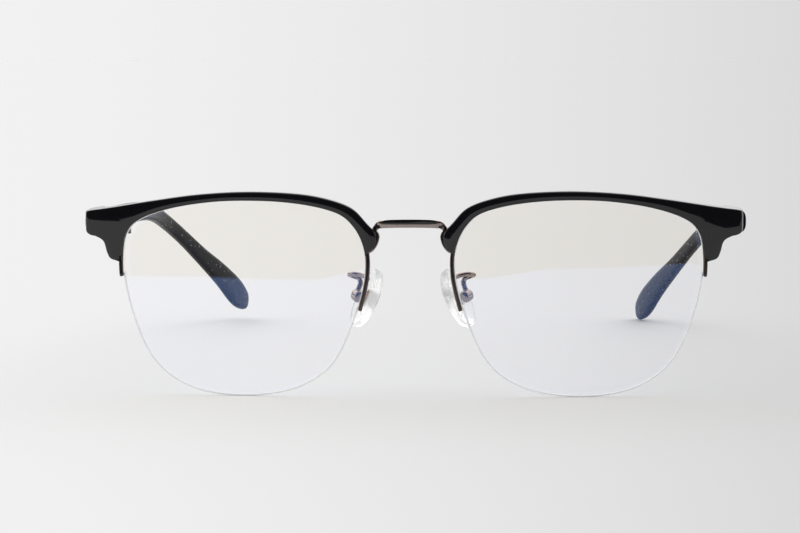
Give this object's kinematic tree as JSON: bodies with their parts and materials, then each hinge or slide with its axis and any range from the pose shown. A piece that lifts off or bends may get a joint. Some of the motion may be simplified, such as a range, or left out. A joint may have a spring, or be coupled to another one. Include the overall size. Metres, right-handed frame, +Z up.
{
  "type": "half rim eyeglasses",
  "caption": "Half rim eyeglasses with glossy black brows over thin metal rim wires, clear lenses held by a nylon cord, silicone nose pads and folding temples.",
  "frame": {"origin": "middle of the bounding box at table level, with the temples open", "axes": "+Z up, the glasses look along -Y, +X is the wearer's left"},
  "size_m": [0.1446, 0.1514, 0.0442],
  "materials": {
    "black_acetate": "polished, with fine sparkle",
    "gunmetal": "polished dark plating",
    "coated_lens": "clear with a blue-violet anti-reflection coating",
    "clear_nylon": "clear",
    "steel": "turned",
    "silicone": "clear, soft"
  },
  "bodies": {
    "front": {"bridge": "gunmetal", "bridge_inlay": "black_acetate", "rim_wire_r": "gunmetal", "rim_wire_l": "gunmetal", "rim_liner_r": "clear_nylon", "rim_liner_l": "clear_nylon", "brow_r": "black_acetate", "brow_l": "black_acetate", "lens_r": "coated_lens", "lens_l": "coated_lens", "nylon_cord_r": "clear_nylon", "nylon_cord_l": "clear_nylon", "endpiece_r": "gunmetal", "endpiece_l": "gunmetal", "endpiece_screw_r": "steel", "endpiece_screw_l": "steel", "hinge_screw_r": "steel", "hinge_screw_l": "steel", "pad_arm_r": "gunmetal", "pad_arm_l": "gunmetal", "pad_screw_r": "steel", "pad_screw_l": "steel"},
    "temple_right": {"temple_r": "black_acetate", "temple_core_r": "steel", "temple_hinge_r": "gunmetal", "hinge_leaf_screws_r": "steel"},
    "temple_left": {"temple_l": "black_acetate", "temple_core_l": "steel", "temple_hinge_l": "gunmetal", "hinge_leaf_screws_l": "steel"},
    "nose_pad_right": {"nose_pad_r": "silicone", "pad_insert_r": "gunmetal"},
    "nose_pad_left": {"nose_pad_l": "silicone", "pad_insert_l": "gunmetal"}
  },
  "joints": [
    {"name": "temple_right_fold", "type": "hinge", "parent": "front", "child": "temple_right", "pos_m": [-0.0659, -0.06165, 0.0373], "axis": [0, 0, -1], "range_deg": [0, 80.5]},
    {"name": "temple_left_fold", "type": "hinge", "parent": "front", "child": "temple_left", "pos_m": [0.0659, -0.06165, 0.0373], "axis": [0, 0, 1], "range_deg": [0, 87]},
    {"name": "nose_pad_right_rock", "type": "hinge", "parent": "front", "child": "nose_pad_right", "pos_m": [-0.0116, -0.06596, 0.02133], "axis": [-0.4956, 0.8257, 0.2694], "range_deg": [-8, 8]},
    {"name": "nose_pad_left_rock", "type": "hinge", "parent": "front", "child": "nose_pad_left", "pos_m": [0.0116, -0.06596, 0.02133], "axis": [0.4956, 0.8257, 0.2694], "range_deg": [-8, 8]}
  ]
}
